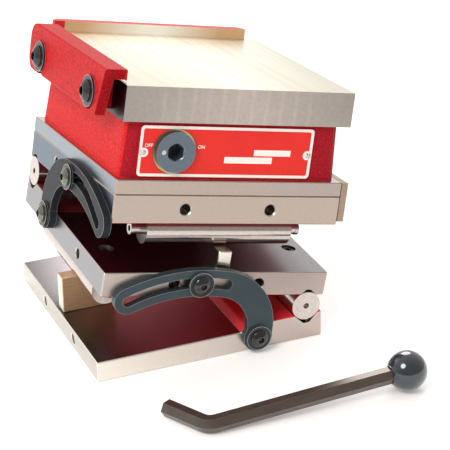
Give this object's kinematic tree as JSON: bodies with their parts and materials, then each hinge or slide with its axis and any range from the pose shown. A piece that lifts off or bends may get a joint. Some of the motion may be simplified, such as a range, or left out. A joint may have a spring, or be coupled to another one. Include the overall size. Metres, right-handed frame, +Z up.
{
  "type": "magnetic chuck on a compound sine plate",
  "caption": "Square magnetic chuck with laminated pole plate and stop rails on a two-axis sine plate, tilted on gauge blocks and held by slotted lock arms, with hex key.",
  "frame": {"origin": "centre of the base plate's underside", "axes": "+Z up, +X to the right along the lower tilt's run, +Y to the back, away from the switch"},
  "size_m": [0.1872, 0.2718, 0.1975],
  "materials": {
    "base_steel": "ground, painted red on the upper faces",
    "middle_steel": "ground",
    "upper_steel": "ground, painted red below",
    "roll_steel": "ground and polished",
    "black_screw": "black oxide",
    "button_screw": "black oxide, satin",
    "washer": "black oxide, worn rim",
    "arm_steel": "blued steel",
    "red_housing": "red crinkle paint",
    "red_left_rail": "red crinkle paint",
    "flange_steel": "ground",
    "rear_rail_steel": "red paint, front face ground",
    "side_bar_steel": "ground",
    "pole_steel": "fine ground",
    "pole_brass": "fine ground",
    "bush_brass": "turned",
    "name_plate": "printed aluminium",
    "rivet": "bright",
    "dial_steel": "dark turned face",
    "index_pin": "bright",
    "tray_steel": "cold rolled",
    "magnet": "dark ferrite",
    "block_steel": "lapped",
    "key_steel": "brown black oxide",
    "knob": "gloss"
  },
  "bodies": {
    "base": {"base_plate": "base_steel", "lower_hinge_centre_knuckle": "roll_steel", "lower_hinge_pin": "roll_steel", "lower_hinge_screws": "black_screw", "front_pivot_screw": "button_screw", "front_pivot_washer": "washer"},
    "lower_sine_plate": {"middle_plate": "middle_steel", "lower_sine_roll": "roll_steel", "lower_hinge_end_knuckles": "roll_steel", "middle_roll_screws": "black_screw", "front_lock_screw": "button_screw", "front_lock_washer": "washer", "upper_hinge_centre_knuckle": "roll_steel", "upper_hinge_pin": "roll_steel", "upper_hinge_screws": "black_screw", "side_pivot_screw": "button_screw", "side_pivot_washer": "washer"},
    "upper_sine_plate": {"upper_plate": "upper_steel", "upper_sine_roll": "roll_steel", "upper_hinge_end_knuckles": "roll_steel", "upper_roll_screws": "black_screw", "side_lock_screw": "button_screw", "side_lock_washer": "washer", "side_bar": "side_bar_steel", "side_bar_screws": "black_screw", "chuck_hold_down_screws": "black_screw", "chuck_base_plate": "flange_steel", "chuck_tie_screws": "black_screw", "chuck_housing": "red_housing", "pole_bars": "pole_steel", "pole_spacers": "pole_brass", "switch_bush": "bush_brass", "switch_rear_bush": "bush_brass", "name_plate": "name_plate", "name_plate_rivets": "rivet", "left_rail_screws": "button_screw", "left_rail_washers": "washer", "rear_rail_screws": "button_screw", "rear_rail_washers": "washer"},
    "front_arm": {"front_lock_arm": "arm_steel"},
    "side_arm": {"side_lock_arm": "arm_steel"},
    "switch": {"switch_shaft": "dial_steel", "switch_index_pin": "index_pin"},
    "magnet_pack": {"magnet_carrier": "tray_steel", "magnet_bars": "magnet"},
    "left_rail": {"left_stop_rail": "red_left_rail"},
    "rear_rail": {"rear_stop_rail": "rear_rail_steel"},
    "lower_block": {"lower_gauge_block": "block_steel"},
    "upper_block": {"upper_gauge_block": "block_steel"},
    "key": {"key_shaft": "key_steel", "key_knob": "knob"}
  },
  "joints": [
    {"name": "lower_tilt", "type": "hinge", "parent": "base", "child": "lower_sine_plate", "pos_m": [0.0655, 0, 0.02303], "axis": [0, 1, 0], "range_deg": [0, 33.6]},
    {"name": "upper_tilt", "type": "hinge", "parent": "lower_sine_plate", "child": "upper_sine_plate", "pos_m": [0.00783, 0.0675, 0.06844], "axis": [-0.9804, 0, 0.1972], "range_deg": [0, 39]},
    {"name": "front_arm_swing", "type": "hinge", "parent": "base", "child": "front_arm", "pos_m": [0.0298, -0.079, 0.01093], "axis": [0, 1, 0], "range_deg": [0, 50]},
    {"name": "side_arm_swing", "type": "hinge", "parent": "lower_sine_plate", "child": "side_arm", "pos_m": [-0.07201, 0.0235, 0.07216], "axis": [-0.9804, 0, 0.1972], "range_deg": [0, 63.8]},
    {"name": "switch_turn", "type": "hinge", "parent": "upper_sine_plate", "child": "switch", "pos_m": [-0.01781, -0.06644, 0.14178], "axis": [-0.0203, 0.9947, -0.1007], "range_deg": [0, 180]},
    {"name": "magnet_slide", "type": "slide", "parent": "upper_sine_plate", "child": "magnet_pack", "axis": [0.9804, 0, -0.1972], "range_m": [0, 0.00635]},
    {"name": "left_rail_lift", "type": "slide", "parent": "upper_sine_plate", "child": "left_rail", "axis": [0.1962, 0.1028, 0.9752], "range_m": [0, 0.006]},
    {"name": "rear_rail_lift", "type": "slide", "parent": "upper_sine_plate", "child": "rear_rail", "axis": [0.1962, 0.1028, 0.9752], "range_m": [0, 0.006]},
    {"name": "lower_block_draw", "type": "slide", "parent": "base", "child": "lower_block", "axis": [-1, 0, 0], "range_m": [0, 0.06]},
    {"name": "upper_block_draw", "type": "slide", "parent": "lower_sine_plate", "child": "upper_block", "axis": [0, 1, 0], "range_m": [0, 0.03]},
    {"name": "key_lift", "type": "slide", "parent": "base", "child": "key", "axis": [0, 0, 1], "range_m": [0, 0.06]}
  ],
  "couplings": [
    {"joint": "front_arm_swing", "follows": "lower_tilt", "ratio": 1.4831},
    {"joint": "side_arm_swing", "follows": "upper_tilt", "ratio": 1.6295},
    {"joint": "switch_turn", "follows": "magnet_slide", "rad_per_m": 494.7}
  ]
}
